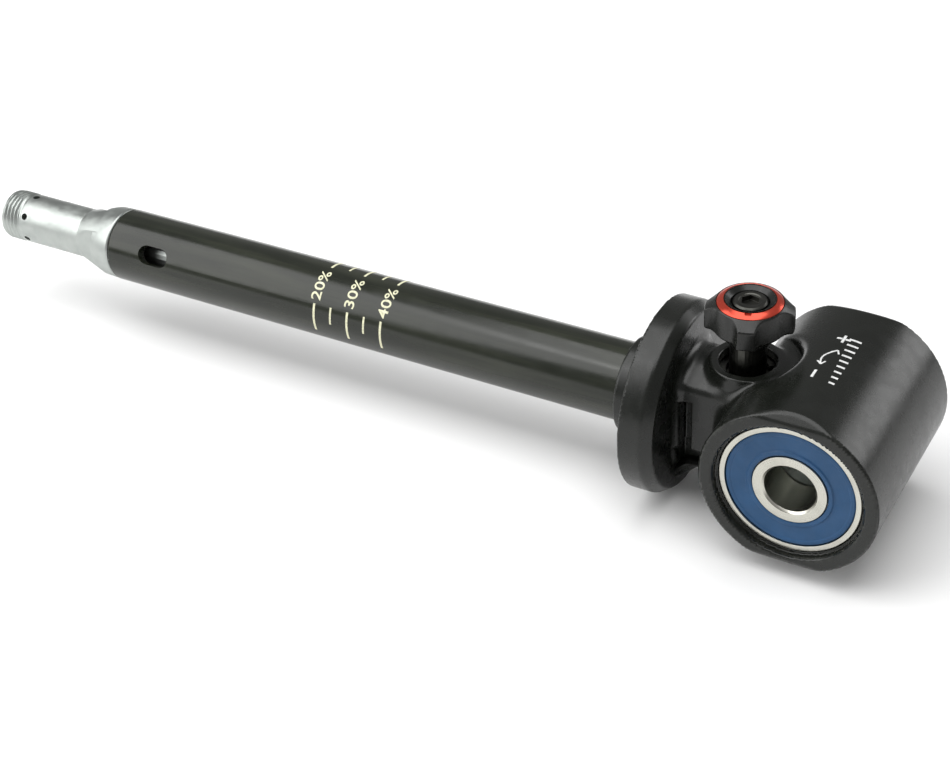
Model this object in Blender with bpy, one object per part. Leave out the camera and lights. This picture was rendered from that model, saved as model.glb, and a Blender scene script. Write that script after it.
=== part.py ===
"""Damper shaft of a coil rear shock with its bearing eyelet and rebound adjuster.

The origin is the centre of the eyelet. The shaft points along -X, the bearings turn about Y,
and the adjuster knob stands up along +Z. All sizes are metres.
"""
import math

import bmesh
import bpy
from mathutils import Matrix, Vector

MM = 0.001

# Eyelet barrel, across the shaft
BARREL_RADIUS = 13.85 * MM
BARREL_HALF_LENGTH = 15.0 * MM
FACET_HALF_HEIGHT = 12.5 * MM
SEAT_RADIUS = 11.06 * MM
MOUTH_RADIUS = 11.5 * MM
SEAT_DEPTH = 7.8 * MM
SPACER_BORE_RADIUS = 6.6 * MM

# Spring plate, shaft socket and the neck behind them
PLATE_FRONT = -27.0 * MM
PLATE_BACK = -21.6 * MM
PLATE_RADIUS = 15.5 * MM
PLATE_BACK_RADIUS = 14.3 * MM
COLLAR_FRONT = -31.5 * MM
COLLAR_RADIUS = 7.7 * MM
SOCKET_END = -22.6 * MM
SOCKET_RADIUS = 6.45 * MM
NECK_HALF_WIDTH = 6.5 * MM
DECK_RADIUS = 9.2 * MM
NECK_BOTTOM = -11.6 * MM
NECK_CORNER = 1.5 * MM
NECK_FILLET = 1.6 * MM

# Shaft tube and its threaded tip
SHAFT_RADIUS = 6.35 * MM
SHAFT_BORE = 4.6 * MM
SHAFT_START = -22.9 * MM
SHAFT_END = -130.3 * MM
SLOT_CENTRE = -120.6 * MM
SLOT_LENGTH = 6.1 * MM
SLOT_WIDTH = 3.3 * MM
SLOT_ANGLE = math.radians(29.0)
TIP_END = -156.3 * MM
TIP_NECK_RADIUS = 4.4 * MM
TIP_BORE = 1.9 * MM
THREAD_CREST = 4.5 * MM
THREAD_ROOT = 4.12 * MM
THREAD_PITCH = 0.8 * MM
THREAD_TURNS = 5
PORT_PLANE = -151.0 * MM
PORT_RADIUS = 0.6 * MM
PORT_COUNT = 6
PORT_ANGLE = math.radians(35.0)

# Rebound adjuster
KNOB_X = -12.6 * MM
KNOB_RADIUS = 6.66 * MM
KNOB_WAIST = 5.2 * MM
RIB_HALF_WIDTH = 1.25 * MM
RIB_FILLET = 1.5 * MM
RIB_REACH = 8 * MM
RIB_ARC_STEPS = 4
KNOB_CORNER_ANGLE = math.radians(-72.4)
KNOB_TOP = 21.3 * MM
BOSS_RADIUS = 5.7 * MM
BOSS_TOP = 10.2 * MM
SPOT_RADIUS = 8.0 * MM
CHAMBER_RADIUS = 4.3 * MM
CHAMBER_BOTTOM = -4.5 * MM
DRUM_RADIUS = 4.15 * MM
STEM_RADIUS = 2.8 * MM
CAM_MEAN_RADIUS = 3.0 * MM
CAM_RISE = MM / math.pi  # for each radian
CAM_HALF_SPAN = math.radians(160.0)
CLICK_ANGLE = math.radians(27.0)
CLICKS_EACH_WAY = 5
DETENT_HEIGHT = 5.0 * MM
CHANNEL_RADIUS = 3.15 * MM
ROD_RADIUS = 2.95 * MM
ROD_END = -140.0 * MM

# Sealed deep-groove bearings, 8 x 22 x 7
BEARING_CENTRE = 10.75 * MM
BEARING_HALF_WIDTH = 3.5 * MM
BORE_RADIUS = 4.0 * MM
RACE_RADIUS = 11.0 * MM
PITCH_RADIUS = 7.5 * MM
BALL_RADIUS = 1.92 * MM
GROOVE_RADIUS = 2.05 * MM
BALL_COUNT = 7

ROUND = 56
MEDIUM = 40
MODERATE = 32
SMALL = 24

AXIS_VECTORS = {"X": Vector((1, 0, 0)), "Y": Vector((0, 1, 0)), "Z": Vector((0, 0, 1))}


def clear_scene():
    for item in list(bpy.data.objects):
        bpy.data.objects.remove(item, do_unlink=True)


def principled(name, colour, roughness, metallic):
    material = bpy.data.materials.new(name)
    material.use_nodes = True
    shader = material.node_tree.nodes["Principled BSDF"]
    shader.inputs["Base Color"].default_value = (*colour, 1.0)
    shader.inputs["Roughness"].default_value = roughness
    shader.inputs["Metallic"].default_value = metallic
    material.diffuse_color = (*colour, 1.0)
    return material


def point(axis, along, across, up):
    """A point from its distance along an axis and its two distances off it."""
    if axis == "X":
        return Vector((along, across, up))
    if axis == "Y":
        return Vector((across, along, up))
    return Vector((across, up, along))


def new_object(name, mesh, material=None, centre=(0, 0, 0), parent=None):
    """Turn a bmesh into a named object with smooth round faces."""
    bmesh.ops.recalc_face_normals(mesh, faces=mesh.faces)
    data = bpy.data.meshes.new(name)
    mesh.to_mesh(data)
    mesh.free()
    data.shade_smooth()
    data.set_sharp_from_angle(angle=math.radians(30))
    if material:
        data.materials.append(material)
    item = bpy.data.objects.new(name, data)
    item.location = centre
    item.parent = parent
    bpy.context.collection.objects.link(item)
    return item


def axis_empty(name, centre):
    empty = bpy.data.objects.new(name, None)
    empty.empty_display_size = 5 * MM
    empty.location = centre
    bpy.context.collection.objects.link(empty)
    return empty


def turned(name, outline, axis, segments, material=None, centre=(0, 0, 0), ring=True, parent=None):
    """Spin an outline of (distance along the axis, radius) points once round the axis.

    A ring's outline is closed and clear of the axis; otherwise it starts and ends on the axis.
    """
    mesh = bmesh.new()
    verts = [mesh.verts.new(point(axis, along, radius, 0.0)) for along, radius in outline]
    edges = [mesh.edges.new(pair) for pair in zip(verts, verts[1:])]
    if ring:
        edges.append(mesh.edges.new((verts[-1], verts[0])))
    bmesh.ops.spin(
        mesh, geom=verts + edges, cent=(0, 0, 0), axis=AXIS_VECTORS[axis],
        angle=math.tau, steps=segments, use_merge=True, use_duplicate=False)
    bmesh.ops.remove_doubles(mesh, verts=mesh.verts, dist=1e-7)
    return new_object(name, mesh, material, centre, parent)


def lofted(name, sections, material=None, centre=(0, 0, 0)):
    """Join closed sections that have the same number of points into one capped solid."""
    mesh = bmesh.new()
    rings = [[mesh.verts.new(corner) for corner in section] for section in sections]
    count = len(rings[0])
    for first, second in zip(rings, rings[1:]):
        for index in range(count):
            following = (index + 1) % count
            mesh.faces.new((first[index], first[following], second[following], second[index]))
    mesh.faces.new(rings[0])
    mesh.faces.new(rings[-1])
    return new_object(name, mesh, material, centre)


def prism(name, outline, axis, low, high, material=None, centre=(0, 0, 0)):
    """Extrude a flat outline of (across, up) points along an axis."""
    sections = [[point(axis, along, across, up) for across, up in outline] for along in (low, high)]
    return lofted(name, sections, material, centre)


def block(name, low, high):
    """A box between two opposite corners."""
    outline = [(low[1], low[2]), (high[1], low[2]), (high[1], high[2]), (low[1], high[2])]
    return prism(name, outline, "X", low[0], high[0])


def circle(radius, segments, start=0.0, centre=(0.0, 0.0)):
    steps = (start + math.tau * index / segments for index in range(segments))
    return [(centre[0] + radius * math.cos(a), centre[1] + radius * math.sin(a)) for a in steps]


def arc(radius, start, end, steps, centre=(0.0, 0.0)):
    """Points on an arc, both ends included."""
    angles = (start + (end - start) * index / steps for index in range(steps + 1))
    return [(centre[0] + radius * math.cos(a), centre[1] + radius * math.sin(a)) for a in angles]


def combine(target, tool, operation):
    """Apply a tool object to a target with an exact Boolean, and keep the tool out of renders."""
    modifier = target.modifiers.new(f"{operation.lower()}_{tool.name}", "BOOLEAN")
    modifier.operation = operation
    modifier.object = tool
    modifier.solver = "EXACT"
    tool.hide_render = True
    tool.display_type = "WIRE"


def radial_direction(angle):
    """Direction off the shaft axis: 0 faces -Y, and a quarter turn faces +Z."""
    return Vector((0.0, -math.cos(angle), math.sin(angle)))


def radial_tools(name, outline, places, low, high):
    """Prisms that stand out from the shaft axis, joined in one cutting tool."""
    mesh = bmesh.new()
    for along, angle in places:
        outward = radial_direction(angle)
        sideways = outward.cross(AXIS_VECTORS["X"])
        rings = []
        for distance in (low, high):
            base = Vector((along, 0, 0)) + outward * distance
            corners = [base + AXIS_VECTORS["X"] * u + sideways * v for u, v in outline]
            rings.append([mesh.verts.new(corner) for corner in corners])
        count = len(rings[0])
        for index in range(count):
            following = (index + 1) % count
            mesh.faces.new(
                (rings[0][index], rings[0][following], rings[1][following], rings[1][index]))
        mesh.faces.new(rings[0])
        mesh.faces.new(rings[1])
    return new_object(name, mesh)


def stadium(length, width, steps=8):
    """A slot outline with round ends, long side along the first coordinate."""
    half_run = (length - width) / 2
    right = arc(width / 2, -math.pi / 2, math.pi / 2, steps, (half_run, 0.0))
    left = arc(width / 2, math.pi / 2, 3 * math.pi / 2, steps, (-half_run, 0.0))
    return right + left


def rectangle(length, width):
    return [(-length / 2, -width / 2), (length / 2, -width / 2),
            (length / 2, width / 2), (-length / 2, width / 2)]


# ---------------------------------------------------------------- eyelet housing

def neck_section(x, grow):
    """The neck's cross-section: round deck, upright sides and a flat, round-cornered bottom."""
    half = NECK_HALF_WIDTH + grow
    deck = DECK_RADIUS + grow
    corner = NECK_CORNER + grow
    spread = math.asin(half / deck)
    outline = arc(deck, math.pi / 2 - spread, math.pi / 2 + spread, 10)
    floor = NECK_BOTTOM - grow + corner
    outline += arc(corner, math.pi, 1.5 * math.pi, 3, (-half + corner, floor))
    outline += arc(corner, 1.5 * math.pi, 2 * math.pi, 3, (half - corner, floor))
    return [Vector((x, y, z)) for y, z in outline]


def make_neck():
    """The neck flares into the spring plate with a round fillet."""
    sections = [neck_section(PLATE_BACK - 1 * MM, NECK_FILLET)]
    for step in range(5):
        angle = math.pi / 2 * step / 4
        distance = NECK_FILLET * (1 - math.cos(angle))
        sections.append(neck_section(PLATE_BACK + distance, NECK_FILLET * (1 - math.sin(angle))))
    sections.append(neck_section(-8 * MM, 0.0))
    return lofted("neck_tool", sections)


def make_plate_tool():
    outline = [
        (COLLAR_FRONT, 0.0),
        (COLLAR_FRONT, COLLAR_RADIUS - 0.3 * MM),
        (COLLAR_FRONT + 0.3 * MM, COLLAR_RADIUS),
        (PLATE_FRONT, COLLAR_RADIUS),
        (PLATE_FRONT, PLATE_RADIUS - 0.4 * MM),
        (PLATE_FRONT + 0.4 * MM, PLATE_RADIUS),
        (PLATE_BACK - 1.7 * MM, PLATE_RADIUS),
        (PLATE_BACK, PLATE_BACK_RADIUS),
        (PLATE_BACK, 0.0),
    ]
    return turned("plate_tool", outline, "X", ROUND, ring=False)


def make_boss_tool():
    outline = [
        (3 * MM, 0.0),
        (3 * MM, 6.3 * MM),
        (6.5 * MM, 6.3 * MM),
        (9.3 * MM, BOSS_RADIUS),
        (BOSS_TOP + 0.8 * MM, BOSS_RADIUS),
        (BOSS_TOP + 0.8 * MM, 0.0),
    ]
    return turned("boss_tool", outline, "Z", MEDIUM, centre=(KNOB_X, 0, 0), ring=False)


def make_facet_tool():
    """An eight-sided block that planes 45-degree facets on the barrel's ends, top and bottom."""
    end = BARREL_HALF_LENGTH
    side = FACET_HALF_HEIGHT
    outline = [(end, -side), (end, side), (side, end), (-side, end),
               (-end, side), (-end, -side), (-side, -end), (side, -end)]
    return prism("facet_tool", outline, "X", -16 * MM, 16 * MM)


def make_bore_tool():
    """Both bearing seats, their mouths, and the narrower bore for the spacer between them."""
    end = BARREL_HALF_LENGTH
    mouth = BEARING_CENTRE + BEARING_HALF_WIDTH
    shoulder = end - SEAT_DEPTH
    half = [(end + 1 * MM, MOUTH_RADIUS), (mouth, MOUTH_RADIUS), (mouth, SEAT_RADIUS),
            (shoulder, SEAT_RADIUS), (shoulder, SPACER_BORE_RADIUS)]
    outline = [(end + 1 * MM, 0.0)] + half
    outline += [(-along, radius) for along, radius in reversed(half)] + [(-end - 1 * MM, 0.0)]
    return turned("bore_tool", outline, "Y", ROUND, ring=False)


def make_chamber_tool():
    """The adjuster's upright chamber with its groove for the retaining ring."""
    outline = [
        (CHAMBER_BOTTOM, 0.0),
        (CHAMBER_BOTTOM, CHAMBER_RADIUS),
        (7.9 * MM, CHAMBER_RADIUS),
        (7.9 * MM, CHAMBER_RADIUS + 0.5 * MM),
        (8.7 * MM, CHAMBER_RADIUS + 0.5 * MM),
        (8.7 * MM, CHAMBER_RADIUS),
        (BOSS_TOP + 3 * MM, CHAMBER_RADIUS),
        (BOSS_TOP + 3 * MM, 0.0),
    ]
    return turned("chamber_tool", outline, "Z", MEDIUM, centre=(KNOB_X, 0, 0), ring=False)


def make_socket_tool():
    """The shaft's socket and the narrow channel behind it that the rod slides in."""
    outline = [
        (COLLAR_FRONT - 1 * MM, 0.0),
        (COLLAR_FRONT - 1 * MM, SOCKET_RADIUS),
        (SOCKET_END, SOCKET_RADIUS),
        (SOCKET_END, CHANNEL_RADIUS),
        (KNOB_X, CHANNEL_RADIUS),
        (KNOB_X, 0.0),
    ]
    return turned("socket_tool", outline, "X", ROUND, ring=False)


def make_housing(material):
    barrel = prism("eyelet_housing", circle(BARREL_RADIUS, 64), "Y",
                   -BARREL_HALF_LENGTH, BARREL_HALF_LENGTH, material)
    combine(barrel, make_facet_tool(), "INTERSECT")
    for tool in (make_neck(), make_plate_tool(), make_boss_tool()):
        combine(barrel, tool, "UNION")
    spot = prism("spot_tool", circle(SPOT_RADIUS, MEDIUM), "Z", BOSS_TOP, 16 * MM, centre=(KNOB_X, 0, 0))
    detent = prism("detent_tool", circle(0.95 * MM, 16, centre=(0.0, DETENT_HEIGHT)), "X",
                   -20.6 * MM, -15 * MM)
    cutters = [spot, make_bore_tool(), make_socket_tool(), make_chamber_tool(), detent]
    for side in (-1, 1):
        outer = side * (NECK_HALF_WIDTH + 3 * MM)
        inner = side * 4.2 * MM
        slot_low = (-20.7 * MM, min(outer, inner), -4.6 * MM)
        slot_high = (-18.9 * MM, max(outer, inner), 4.2 * MM)
        cutters.append(block(f"slot_tool_{side}", slot_low, slot_high))
        inner = side * 3.4 * MM
        recess_low = (-21.2 * MM, min(outer, inner), -9.0 * MM)
        recess_high = (-14.6 * MM, max(outer, inner), -4.4 * MM)
        cutters.append(block(f"recess_tool_{side}", recess_low, recess_high))
    for cutter in cutters:
        combine(barrel, cutter, "DIFFERENCE")


# ---------------------------------------------------------------- shaft and tip

def make_shaft(material):
    chamfer = 0.3 * MM
    outline = [
        (SHAFT_START, SHAFT_BORE),
        (SHAFT_START, SHAFT_RADIUS),
        (SHAFT_END + chamfer, SHAFT_RADIUS),
        (SHAFT_END, SHAFT_RADIUS - chamfer),
        (SHAFT_END, SHAFT_BORE),
    ]
    shaft = turned("damper_shaft", outline, "X", ROUND, material)
    places = [(SLOT_CENTRE, SLOT_ANGLE), (SLOT_CENTRE, SLOT_ANGLE + math.pi)]
    slots = radial_tools("oil_slot_tool", stadium(SLOT_LENGTH, SLOT_WIDTH), places, 3 * MM, 8 * MM)
    combine(shaft, slots, "DIFFERENCE")


def thread_outline():
    """Crests and roots of the piston thread, from the tip's end towards its neck."""
    outline = [(TIP_END, TIP_BORE), (TIP_END, THREAD_ROOT)]
    start = TIP_END + 0.3 * MM
    for turn in range(THREAD_TURNS):
        crest = start + turn * THREAD_PITCH
        outline += [(crest, THREAD_CREST), (crest + 0.2 * MM, THREAD_CREST),
                    (crest + 0.5 * MM, THREAD_ROOT)]
    return outline


def make_tip(material):
    shoulder = SHAFT_END - 0.15 * MM
    shank_end = SHAFT_END + 4.8 * MM
    outline = thread_outline() + [
        (TIP_END + 4.5 * MM, TIP_NECK_RADIUS),
        (-138.8 * MM, TIP_NECK_RADIUS),
        (-133.0 * MM, 6.2 * MM),
        (shoulder, 6.3 * MM),
        (shoulder, SHAFT_BORE - 0.1 * MM),
        (shank_end, SHAFT_BORE - 0.1 * MM),
        (shank_end, CHANNEL_RADIUS),
        (-146.0 * MM, CHANNEL_RADIUS),
        (-147.0 * MM, TIP_BORE),
    ]
    tip = turned("shaft_tip", outline, "X", MODERATE, material)
    ports = [(PORT_PLANE, PORT_ANGLE + math.tau * index / PORT_COUNT) for index in range(PORT_COUNT)]
    drill = radial_tools("port_tool", circle(PORT_RADIUS, 8), ports, 1 * MM, 6 * MM)
    combine(tip, drill, "DIFFERENCE")
    flats = [(-137.4 * MM, math.radians(angle)) for angle in (9.0, 129.0, 249.0)]
    mill = radial_tools("wrench_flat_tool", rectangle(5.6 * MM, 10 * MM), flats, 4.7 * MM, 8 * MM)
    combine(tip, mill, "DIFFERENCE")


# ---------------------------------------------------------------- metering rod

def ring_seal(name, axis, along, ring_radius, cord_radius, material, centre=(0, 0, 0)):
    outline = [(along + a, ring_radius + r) for a, r in circle(cord_radius, 6)]
    return turned(name, outline, axis, SMALL, material, centre)


def make_rod(steel, rubber):
    groove = 2.35 * MM
    outline = [(ROD_END, 0.0), (ROD_END, ROD_RADIUS)]
    for centre in (-136.0 * MM, -19.6 * MM):
        outline += [(centre - 0.5 * MM, ROD_RADIUS), (centre - 0.5 * MM, groove),
                    (centre + 0.5 * MM, groove), (centre + 0.5 * MM, ROD_RADIUS)]
    outline += [(-17.8 * MM, ROD_RADIUS), (-17.4 * MM, 1.8 * MM), (-15.7 * MM, 1.8 * MM),
                (-15.7 * MM, 0.0)]
    turned("rebound_rod", outline, "X", SMALL, steel, ring=False)
    ring_seal("rod_oring_front", "X", -136.0 * MM, 2.72 * MM, 0.33 * MM, rubber)
    ring_seal("rod_oring_rear", "X", -19.6 * MM, 2.72 * MM, 0.33 * MM, rubber)


def make_needle(material):
    start = ROD_END - 0.1 * MM
    outline = [
        (start, 0.0),
        (start, 2.7 * MM),
        (start - 0.5 * MM, 2.7 * MM),
        (start - 0.5 * MM, 1.3 * MM),
        (-149.0 * MM, 1.3 * MM),
        (-152.6 * MM, 0.45 * MM),
        (-152.6 * MM, 0.0),
    ]
    turned("rebound_needle", outline, "X", 24, material, ring=False)


def coil_spring(name, axis_height, start, end, turns, coil_radius, wire_radius, material):
    """A helix along X, drawn as a bevelled curve with filled ends."""
    curve = bpy.data.curves.new(name, "CURVE")
    curve.dimensions = "3D"
    curve.bevel_depth = wire_radius
    curve.bevel_resolution = 1
    curve.use_fill_caps = True
    steps = turns * 10
    spline = curve.splines.new("POLY")
    spline.points.add(steps)
    for index in range(steps + 1):
        part = index / steps
        angle = math.tau * turns * part
        spline.points[index].co = (
            start + (end - start) * part,
            coil_radius * math.cos(angle),
            axis_height + coil_radius * math.sin(angle),
            1.0)
    curve.materials.append(material)
    item = bpy.data.objects.new(name, curve)
    bpy.context.collection.objects.link(item)


# ---------------------------------------------------------------- rebound adjuster

def cam_outline():
    """A spiral cam: its radius grows evenly with angle a little past both ends of the sweep."""
    spiral_steps = 26
    outline = []
    for index in range(spiral_steps + 1):
        turn = CAM_HALF_SPAN * (2 * index / spiral_steps - 1)
        radius = CAM_MEAN_RADIUS + CAM_RISE * turn
        outline.append((radius * math.cos(math.pi + turn), radius * math.sin(math.pi + turn)))
    low = CAM_MEAN_RADIUS - CAM_RISE * CAM_HALF_SPAN
    high = CAM_MEAN_RADIUS + CAM_RISE * CAM_HALF_SPAN
    gap = math.tau - 2 * CAM_HALF_SPAN
    for part in (0.25, 0.5, 0.75):
        angle = math.pi + CAM_HALF_SPAN + gap * part
        radius = high + (low - high) * part
        outline.append((radius * math.cos(angle), radius * math.sin(angle)))
    return outline


def notch_tool(axis):
    """Upright round cutters round the drum, one for each click of the adjuster."""
    mesh = bmesh.new()
    distance = DRUM_RADIUS + 0.65 * MM
    for click in range(-CLICKS_EACH_WAY, CLICKS_EACH_WAY + 1):
        angle = math.pi + click * CLICK_ANGLE
        place = Vector((distance * math.cos(angle), distance * math.sin(angle), DETENT_HEIGHT))
        bmesh.ops.create_cone(
            mesh, cap_ends=True, segments=12, radius1=1.1 * MM, radius2=1.1 * MM,
            depth=2.0 * MM, matrix=Matrix.Translation(place))
    return new_object("notch_tool", mesh, parent=axis)


def make_stem(material, rubber, axis):
    outline = [
        (-4.2 * MM, 0.0),
        (-4.2 * MM, 1.5 * MM),
        (-2.2 * MM, 1.5 * MM),
        (-2.2 * MM, 2.0 * MM),
        (2.4 * MM, 2.0 * MM),
        (2.4 * MM, DRUM_RADIUS),
        (6.2 * MM, DRUM_RADIUS),
        (6.2 * MM, 3.55 * MM),
        (7.2 * MM, 3.55 * MM),
        (7.2 * MM, DRUM_RADIUS),
        (7.7 * MM, DRUM_RADIUS),
        (7.7 * MM, STEM_RADIUS),
        (18.3 * MM, STEM_RADIUS),
        (18.3 * MM, 1.35 * MM),
        (15.0 * MM, 1.35 * MM),
        (15.0 * MM, 0.0),
    ]
    stem = turned("adjuster_stem", outline, "Z", MODERATE, material, ring=False, parent=axis)
    cam = prism("cam_tool", cam_outline(), "Z", -1.9 * MM, 1.9 * MM)
    cam.parent = axis
    combine(stem, cam, "UNION")
    combine(stem, notch_tool(axis), "DIFFERENCE")
    seal = ring_seal("stem_oring", "Z", 6.7 * MM, 3.93 * MM, 0.33 * MM, rubber)
    seal.parent = axis


def hexagon(flat, corner_angle):
    return circle(flat / math.cos(math.pi / 6), 6, corner_angle)


def ribbed_outline():
    """A round waist with four filleted ribs, one of them at the knob's front."""
    fillet_v = RIB_HALF_WIDTH + RIB_FILLET
    fillet_u = math.sqrt((KNOB_WAIST + RIB_FILLET) ** 2 - fillet_v**2)
    root = math.atan2(fillet_v, fillet_u)
    half = [(RIB_REACH, RIB_HALF_WIDTH)]
    for angle in spread(1.5 * math.pi, math.pi + root, RIB_ARC_STEPS):
        half.append((fillet_u + RIB_FILLET * math.cos(angle), fillet_v + RIB_FILLET * math.sin(angle)))
    for angle in spread(root, math.pi / 4, RIB_ARC_STEPS)[1:]:
        half.append((KNOB_WAIST * math.cos(angle), KNOB_WAIST * math.sin(angle)))
    rib = [(u, -v) for u, v in reversed(half)] + half[:-1]
    points = []
    for index in range(4):
        turn = KNOB_CORNER_ANGLE + index * math.pi / 2
        for u, v in rib:
            points.append((u * math.cos(turn) - v * math.sin(turn), u * math.sin(turn) + v * math.cos(turn)))
    return points


def spread(first, last, steps):
    return [first + (last - first) * step / steps for step in range(steps + 1)]


def make_knob(black, red, steel, axis):
    """A knob with four ribs, a cone top, a coloured ring let into the cone and a screw in its dish."""
    outline = [
        (14.2 * MM, 2.9 * MM),
        (14.2 * MM, 3.5 * MM),
        (16.2 * MM, 4.7 * MM),
        (16.2 * MM, 6.3 * MM),
        (16.5 * MM, KNOB_RADIUS),
        (19.35 * MM, KNOB_RADIUS),
        (20.65 * MM, 4.98 * MM),
        (20.2 * MM, 4.98 * MM),
        (20.2 * MM, 3.78 * MM),
        (KNOB_TOP, 3.78 * MM),
        (20.6 * MM, 2.85 * MM),
        (19.6 * MM, 2.85 * MM),
        (19.6 * MM, 1.4 * MM),
        (18.5 * MM, 1.4 * MM),
        (18.5 * MM, 2.9 * MM),
    ]
    knob = turned("rebound_knob", outline, "Z", MEDIUM, black, parent=axis)
    sides = prism("knob_side_tool", ribbed_outline(), "Z", 13 * MM, 22 * MM)
    sides.parent = axis
    combine(knob, sides, "INTERSECT")
    ring = [(20.3 * MM, 4.9 * MM), (20.7 * MM, 4.9 * MM), (21.26 * MM, 3.88 * MM), (20.3 * MM, 3.88 * MM)]
    turned("knob_ring", ring, "Z", MODERATE, red, parent=axis)
    screw_outline = [
        (15.4 * MM, 0.0),
        (15.4 * MM, 1.2 * MM),
        (19.7 * MM, 1.2 * MM),
        (19.7 * MM, 2.6 * MM),
        (20.7 * MM, 2.6 * MM),
        (20.9 * MM, 2.4 * MM),
        (20.9 * MM, 0.0),
    ]
    screw = turned("knob_screw", screw_outline, "Z", SMALL, steel, ring=False, parent=axis)
    socket = prism("screw_socket_tool", hexagon(1.25 * MM, KNOB_CORNER_ANGLE), "Z", 19.9 * MM, 22 * MM)
    socket.parent = axis
    combine(screw, socket, "DIFFERENCE")


def make_circlip(material):
    """A snap ring with an open mouth that faces away from the shaft."""
    inner = 3.3 * MM
    outer = CHAMBER_RADIUS + 0.32 * MM
    half_mouth = math.radians(35)
    outline = arc(outer, half_mouth, math.tau - half_mouth, 28)
    outline += arc(inner, math.tau - half_mouth, half_mouth, 28)
    prism("stem_circlip", outline, "Z", 8.05 * MM, 8.55 * MM, material, centre=(KNOB_X, 0, 0))


def make_detent(ball_steel, spring_steel):
    """A sprung ball that drops into the drum's notches."""
    ball_radius = 0.85 * MM
    centre_x = KNOB_X - DRUM_RADIUS - ball_radius - 0.06 * MM
    mesh = bmesh.new()
    bmesh.ops.create_uvsphere(mesh, u_segments=14, v_segments=8, radius=ball_radius)
    new_object("detent_ball", mesh, ball_steel, centre=(centre_x, 0, DETENT_HEIGHT))
    spring_start = centre_x - ball_radius - 0.2 * MM
    coil_spring("detent_spring", DETENT_HEIGHT, spring_start, -20.4 * MM, 4, 0.62 * MM, 0.13 * MM,
                spring_steel)


# ---------------------------------------------------------------- bearings

def groove_points(land_radius, side, steps=3):
    """The ball groove across a race, from one edge of its land to the other.

    side is +1 for the outer race, whose groove is cut outward, and -1 for the inner race.
    """
    depth = side * (land_radius - PITCH_RADIUS)
    half = math.acos(depth / GROOVE_RADIUS)
    points = arc(GROOVE_RADIUS, half, -half, steps)
    return [(along, PITCH_RADIUS + side * radial) for radial, along in points]


def outer_race_outline():
    half = BEARING_HALF_WIDTH
    seat = 2.75 * MM
    land = 9.2 * MM
    outline = [(-half, 10.75 * MM), (-half + 0.25 * MM, RACE_RADIUS), (half - 0.25 * MM, RACE_RADIUS),
               (half, 10.75 * MM), (half, 10.05 * MM), (seat, 10.05 * MM), (seat, land)]
    outline += groove_points(land, 1)
    return outline + [(-seat, land), (-seat, 10.05 * MM), (-half, 10.05 * MM)]


def inner_race_outline():
    half = BEARING_HALF_WIDTH
    lip = 2.7 * MM
    land = 6.05 * MM
    rim = 5.73 * MM
    outline = [(-half, BORE_RADIUS + 0.33 * MM), (-half, rim), (-lip, rim), (-lip, land)]
    outline += [(along, radius) for along, radius in reversed(groove_points(land, -1))]
    outline += [(lip, land), (lip, rim), (half, rim), (half, BORE_RADIUS + 0.33 * MM)]
    return outline + [(half - 0.33 * MM, BORE_RADIUS), (-half + 0.33 * MM, BORE_RADIUS)]


def make_cage(name, material, axis):
    outline = [(-2.5 * MM, 7.05 * MM), (-2.5 * MM, 7.95 * MM), (2.5 * MM, 7.95 * MM), (2.5 * MM, 7.05 * MM)]
    cage = turned(name, outline, "Y", 6 * BALL_COUNT, material, parent=axis)
    mesh = bmesh.new()
    for index in range(BALL_COUNT):
        angle = math.tau * index / BALL_COUNT
        place = Matrix.Rotation(-angle, 4, "Y") @ Matrix.Translation((PITCH_RADIUS, 0, 0))
        bmesh.ops.create_cone(
            mesh, cap_ends=True, segments=12, radius1=2.12 * MM, radius2=2.12 * MM, depth=3 * MM,
            matrix=place @ Matrix.Rotation(math.pi / 2, 4, "Y"))
    pockets = new_object(f"{name}_tool", mesh, parent=axis)
    combine(cage, pockets, "DIFFERENCE")


def make_balls(side_name, material, axis):
    for index in range(BALL_COUNT):
        angle = math.tau * index / BALL_COUNT
        mesh = bmesh.new()
        bmesh.ops.create_uvsphere(mesh, u_segments=10, v_segments=6, radius=BALL_RADIUS)
        place = (PITCH_RADIUS * math.cos(angle), 0.0, PITCH_RADIUS * math.sin(angle))
        new_object(f"ball_{side_name}_{index + 1}", mesh, material, place, axis)


def make_bearing(side_name, side, race_steel, seal_rubber, cage_metal):
    centre = (0, side * BEARING_CENTRE, 0)
    turned(f"outer_race_{side_name}", outer_race_outline(), "Y", MEDIUM, race_steel, centre)
    turned(f"inner_race_{side_name}", inner_race_outline(), "Y", MODERATE, race_steel, centre)
    axis = axis_empty(f"cage_axis_{side_name}", centre)
    make_cage(f"cage_{side_name}", cage_metal, axis)
    make_balls(side_name, race_steel, axis)
    for face_name, face in (("outside", side), ("inside", -side)):
        low = face * 2.85 * MM
        high = face * 3.35 * MM
        outline = [(low, 5.85 * MM), (high, 5.85 * MM), (high, 9.95 * MM), (low, 9.95 * MM)]
        turned(f"seal_{side_name}_{face_name}", outline, "Y", MODERATE, seal_rubber, centre)


def make_spacer(material):
    half = BEARING_CENTRE - BEARING_HALF_WIDTH - 0.1 * MM
    outline = [(-half, 4.05 * MM), (-half, 5.6 * MM), (half, 5.6 * MM), (half, 4.05 * MM)]
    turned("bearing_spacer", outline, "Y", MODERATE, material)


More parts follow.
